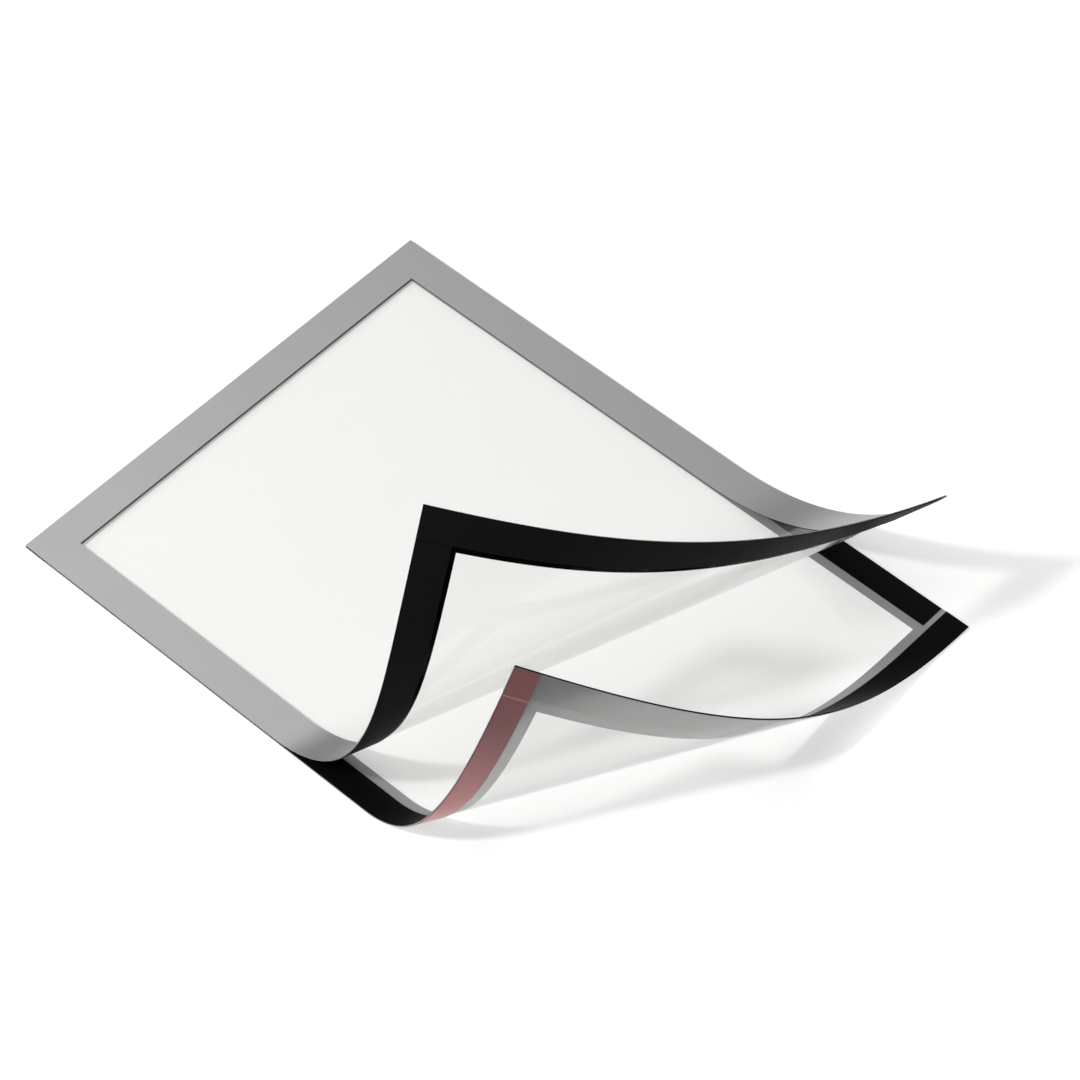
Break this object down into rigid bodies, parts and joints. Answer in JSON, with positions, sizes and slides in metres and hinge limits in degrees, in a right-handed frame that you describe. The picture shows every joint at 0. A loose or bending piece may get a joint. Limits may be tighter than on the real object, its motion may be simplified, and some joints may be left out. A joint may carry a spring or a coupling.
{
  "type": "magnetic display frame",
  "caption": "Flexible wall frame for a paper sheet: a clear cover with a silver border, hinged along a short edge and peeled open from one corner, held shut by magnetic strips on a clear back.",
  "frame": {"origin": "centre of the bounding box, on the surface that the frame lies on", "axes": "+X to the right along the hinge edge, +Y along the long edges from the free edge to the hinge edge, +Z away from the wall towards the viewer"},
  "size_m": [0.2424, 0.3234, 0.133],
  "materials": {
    "clear_film": "clear flexible film",
    "silver_border": "satin silver print, black on the back",
    "grey_border": "translucent grey print",
    "magnet": "matt black magnetic strip",
    "adhesive": "adhesive tape",
    "red_liner": "satin release film"
  },
  "bodies": {
    "back_sheet": {"back_film": "clear_film", "back_border": "grey_border", "back_magnet_hinge_edge": "magnet", "back_magnet_left_edge": "magnet", "back_magnet_right_edge": "magnet", "back_magnet_free_edge": "magnet", "adhesive_tape_left": "adhesive", "adhesive_tape_right": "adhesive", "release_liner_left": "red_liner", "release_liner_right": "red_liner", "hinge_film": "clear_film"},
    "cover": {"cover_film": "clear_film", "cover_border": "silver_border", "cover_magnet_hinge_edge": "magnet", "cover_magnet_left_edge": "magnet", "cover_magnet_right_edge": "magnet", "cover_magnet_free_edge": "magnet"}
  },
  "joints": [
    {"name": "cover_hinge", "type": "hinge", "parent": "back_sheet", "child": "cover", "pos_m": [0, 0.16159, 0.00117], "axis": [-1, 0, 0], "range_deg": [0, 143]}
  ]
}
